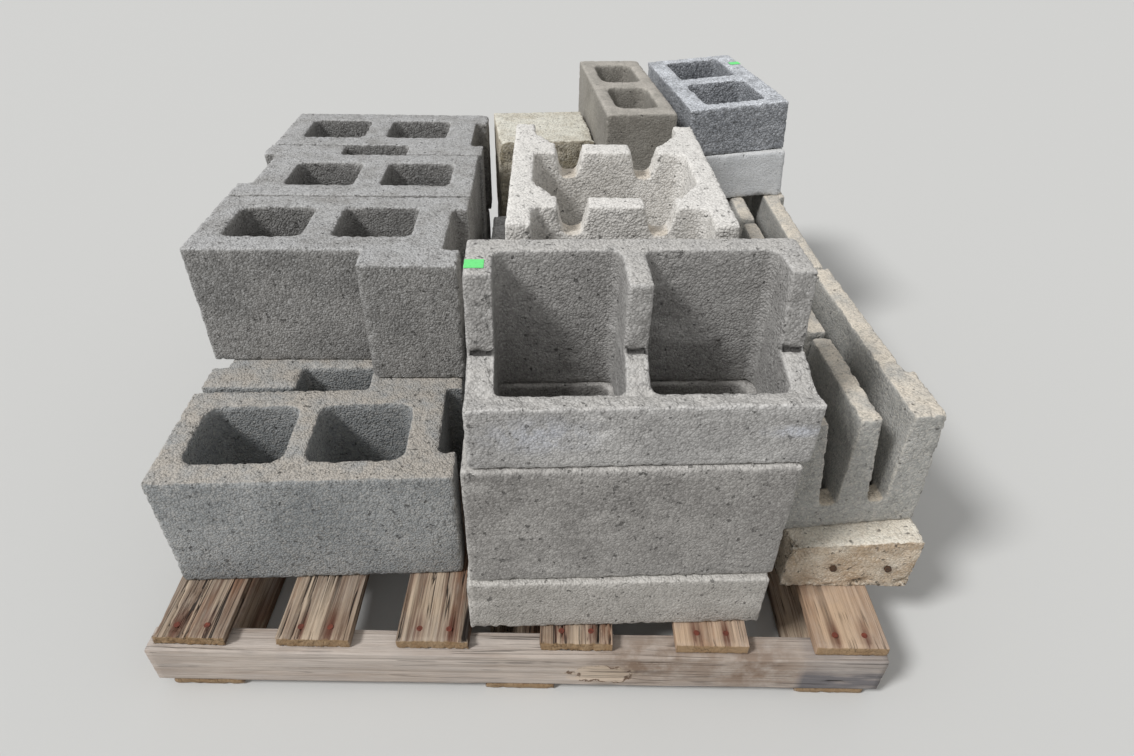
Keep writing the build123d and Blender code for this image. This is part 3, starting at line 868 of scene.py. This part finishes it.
def rounded_return(node):
    """Rounds the upright outer edge of the return at a corner block's near right end."""
    own = OwnFrame(node)
    near = own.corners[:, 1] < own.origin[1] + ARRIS / 10
    left = own.corners[near, 0].min() - own.origin[0] - ARRIS
    centre = np.array((left, 0)) + RETURN_RADIUS

    def mould(co):
        plan = own.plan(co) - centre
        far = np.hypot(*plan.T)
        outside = (plan < 0).all(axis=1) & (far > RETURN_RADIUS)
        plan[outside] *= (RETURN_RADIUS / far[outside])[:, None]
        return own.world(plan + centre, co[:, 2])

    return mould


BROKEN = OwnFrame("broken_block")
BROKEN_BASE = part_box("broken_block")[0][2]


def broken_shape(co, out):
    """A coarse break across the front shell and the webs' tops, and rough webs' ends."""
    height = co[:, 2] - BROKEN_BASE
    back = BROKEN.plan(co)[:, 1]
    floor = ramp(out[:, 2], 0.5, 0.8) * ramp(height, *BREAK_FLOOR_FROM)
    floor *= 1 - ramp(height, *BREAK_FLOOR_TO)
    ends = ramp(-out[:, 1], 0.5, 0.8) * ramp(height, *WEB_ENDS_ABOVE)
    ends *= ramp(back, *WEB_ENDS_BEHIND) * ramp(WEB_ENDS_DEPTH - back, 0, WEB_ENDS_FADE)
    coarse = ramp(rough(co, 0.012, 243, 3), -0.4, 0.6)
    return (BREAK_COARSENESS * floor + WEB_END_COARSENESS * ends) * coarse


def web_foot_shadows(co):
    """Painted-shadow grooves at the broken webs' feet, the middle one higher than the outer two.
    """
    along, back = BROKEN.plan(co).T
    height = co[:, 2] - BROKEN_BASE
    middle = (along > MIDDLE_WEB[0]) & (along < MIDDLE_WEB[1])
    foot_back = np.where(middle, MIDDLE_FOOT[0], OUTER_FOOT[0])
    foot_height = np.where(middle, MIDDLE_FOOT[1], OUTER_FOOT[1])
    foot_height = foot_height + FOOT_WANDER * noise(co, 0.012, 247)
    return 1 - ramp(np.hypot(back - foot_back, height - foot_height), *FOOT_CRACK)


def shaded_inner_faces(co, out):
    """Painted shade on what doesn't face up and lies behind the front face."""
    return ramp(BROKEN.plan(co)[:, 1], *BEHIND_FRONT) * (1 - ramp(out[:, 2], 0.3, 0.7))


def pitted(seed, size, depth):
    """Shallow pits all over."""

    def shape(co, out):
        return depth * ramp(rough(co, size, seed, 2), 0.25, 0.6)

    return shape


def dust_on_level(low, high):
    """Dust on what faces up between two heights."""

    def dust(co, out):
        height = co[:, 2]
        level = ramp(height, low - DUST_FADE, low) * (1 - ramp(height, high, high + DUST_FADE))
        return level * ramp(out[:, 2], 0.4, 0.8) * ramp(rough(co, 0.03, 71, 2), -0.7, 0.1)

    return dust


# Concrete units

# The floors of the slots lie between these heights
SLOT_FLOORS = dust_on_level(0.20, 0.28)
KNOCK_SLOT_FLOORS = dust_on_level(0.53, 0.565)

worn_block(
    "corner_block_upper_front",
    grey,
    seed=11,
    wear=0.45,
    mould=rounded_return("corner_block_upper_front"),
)
worn_block("corner_block_upper_middle", grey, step=MEDIUM, seed=12, wear=0.45)
worn_block("corner_block_upper_back", grey, step=MEDIUM, seed=13, wear=0.45)
worn_block("corner_block_lower_front", warm, seed=14)
worn_block("corner_block_lower_second", warm, step=MEDIUM, seed=15)
worn_block("corner_block_lower_third", warm, step=COARSE, seed=16)
worn_block("corner_block_lower_back", warm, step=COARSE, seed=17)
worn_block("half_high_block_bottom", low_grey, step=MEDIUM, seed=21)
worn_block("full_block", stack_grey, step=MEDIUM, seed=22)
worn_block(
    "broken_block",
    top_grey,
    seed=23,
    chips=0.12,
    crumble=0.0012,
    shape=broken_shape,
    # Grooves at the webs' feet, darkened with painted shadow
    crack=web_foot_shadows,
    tint=shaded_inner_faces,
)
worn_block(
    "knock_out_block",
    pale,
    seed=31,
    grain=0.0008,
    shape=pitted(311, 0.007, 0.0009),
    tint=KNOCK_SLOT_FLOORS,
)
worn_block("knock_out_support", grey, step=COARSE, seed=32)
worn_block("narrow_block", olive, step=MEDIUM, seed=33)
worn_block("narrow_support", grey, step=COARSE, seed=34)
worn_block(
    "half_block",
    cream,
    step=HALF_BLOCK_STEP,
    seed=35,
    chips=0.4,
    shape=half_block_shape,
)
worn_block("half_support", grey, step=COARSE, seed=36)
worn_block("sill", sill_cream, seed=41, chips=0.4, shape=sill_shape)
worn_block("slotted_block_front", beige, seed=42, chips=0.32, tint=SLOT_FLOORS)
worn_block(
    "slotted_block_middle", beige, step=MEDIUM, seed=43, tint=SLOT_FLOORS
)
worn_block("slotted_block_back", beige, step=COARSE, seed=44)
worn_block("smooth_half_high_block", smooth, step=MEDIUM, seed=45)
worn_block("coarse_half_high_block", bluish, seed=46, grain=0.001, pits=0.0014)

# Wood

nail_points = {
    (round(v.co.x, 3), round(v.co.y, 3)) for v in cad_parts["pallet_nails"].data.vertices
}


def nails_in(node):
    """The middles of the nails within a board's box."""
    lo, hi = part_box(node)
    inside = [p for p in nail_points if lo[0] < p[0] < hi[0] and lo[1] < p[1] < hi[1]]
    groups = []
    for x, y in sorted(inside):
        for group in groups:
            if abs(group[0][0] - x) < NAIL_WIDTH and abs(group[0][1] - y) < NAIL_WIDTH:
                group.append((x, y))
                break
        else:
            groups.append([(x, y)])
    return [tuple(np.mean(group, axis=0)) for group in groups]


for number in range(1, 7):
    node = f"deck_board_{number}"
    fresh = number > 4
    plank(
        node,
        fresh_wood if fresh else board_wood,
        ALONG_Y,
        DECK_STEPS,
        60 + number,
        0.45 if fresh else 1.0,
        nails=nails_in(node),
    )
for number, side in enumerate(("left", "middle", "right")):
    plank(
        f"bottom_board_{side}",
        board_wood,
        ALONG_Y,
        HIDDEN_STEPS,
        80 + number,
        0.5,
    )
plank(
    "stringer_front",
    stringer_wood,
    ALONG_X,
    FRONT_STRINGER_STEPS,
    91,
    0.25,
    knots=[KNOT],
    gouges=[GOUGE],
)
plank("stringer_middle", stringer_wood, ALONG_X, HIDDEN_STEPS, 92, 0.5)
plank("stringer_back", stringer_wood, ALONG_X, BACK_STRINGER_STEPS, 93, 0.6)

# Steel and labels, as the solids have them

for node, material in (
    ("pallet_nails", nail_rust),
    ("sill_rebars", bar_rust),
    ("blank_labels", label_green),
):
    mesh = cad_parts[node].data
    mesh.materials.clear()
    mesh.materials.append(material)

# Floor, light and camera

def floor():
    """A plain floor under the pallet."""
    mesh = bpy.data.meshes.new("floor")
    turns = ((-1, -1), (1, -1), (1, 1), (-1, 1))
    corners = [(x * FLOOR_HALF, y * FLOOR_HALF, 0) for x, y in turns]
    mesh.from_pydata(corners, [], [(0, 1, 2, 3)])
    obj = new_object("floor", mesh)
    material = bpy.data.materials.new("floor")
    material.use_nodes = True
    surface = material.node_tree.nodes["Principled BSDF"]
    surface.inputs["Base Color"].default_value = linear(FLOOR_GREY)
    surface.inputs["Roughness"].default_value = 0.95
    mesh.materials.append(material)


def sun():
    """Light from one direction, the same all over the floor."""
    light = bpy.data.lights.new("key", "SUN")
    light.energy = SUN_STRENGTH
    light.angle = SUN_SOFTNESS
    obj = bpy.data.objects.new("key", light)
    bpy.context.scene.collection.objects.link(obj)
    obj.rotation_euler = Vector(SUN_DIRECTION).to_track_quat("Z", "Y").to_euler()


def sky():
    """Even light from all round."""
    world = bpy.data.worlds.new("world")
    world.use_nodes = True
    background = world.node_tree.nodes["Background"]
    background.inputs["Color"].default_value = (1, 1, 1, 1)
    background.inputs["Strength"].default_value = SKY_STRENGTH
    bpy.context.scene.world = world


def camera():
    """The camera where the photograph was taken from."""
    data = bpy.data.cameras.new("camera")
    data.sensor_width = SENSOR_WIDTH
    data.lens = CAMERA_LENS
    obj = bpy.data.objects.new("camera", data)
    bpy.context.scene.collection.objects.link(obj)
    forward = Vector(
        (
            sin(CAMERA_YAW) * cos(CAMERA_PITCH),
            cos(CAMERA_YAW) * cos(CAMERA_PITCH),
            -sin(CAMERA_PITCH),
        )
    )
    right = Vector((cos(CAMERA_YAW), -sin(CAMERA_YAW), 0))
    up = right.cross(forward)
    rolled_right = cos(CAMERA_ROLL) * right + sin(CAMERA_ROLL) * up
    rolled_up = cos(CAMERA_ROLL) * up - sin(CAMERA_ROLL) * right
    matrix = Matrix((rolled_right, rolled_up, -forward)).transposed().to_4x4()
    matrix.translation = CAMERA_PLACE
    obj.matrix_world = matrix
    bpy.context.scene.camera = obj


floor()
sun()
sky()
camera()
bpy.context.scene.view_settings.view_transform = "Standard"
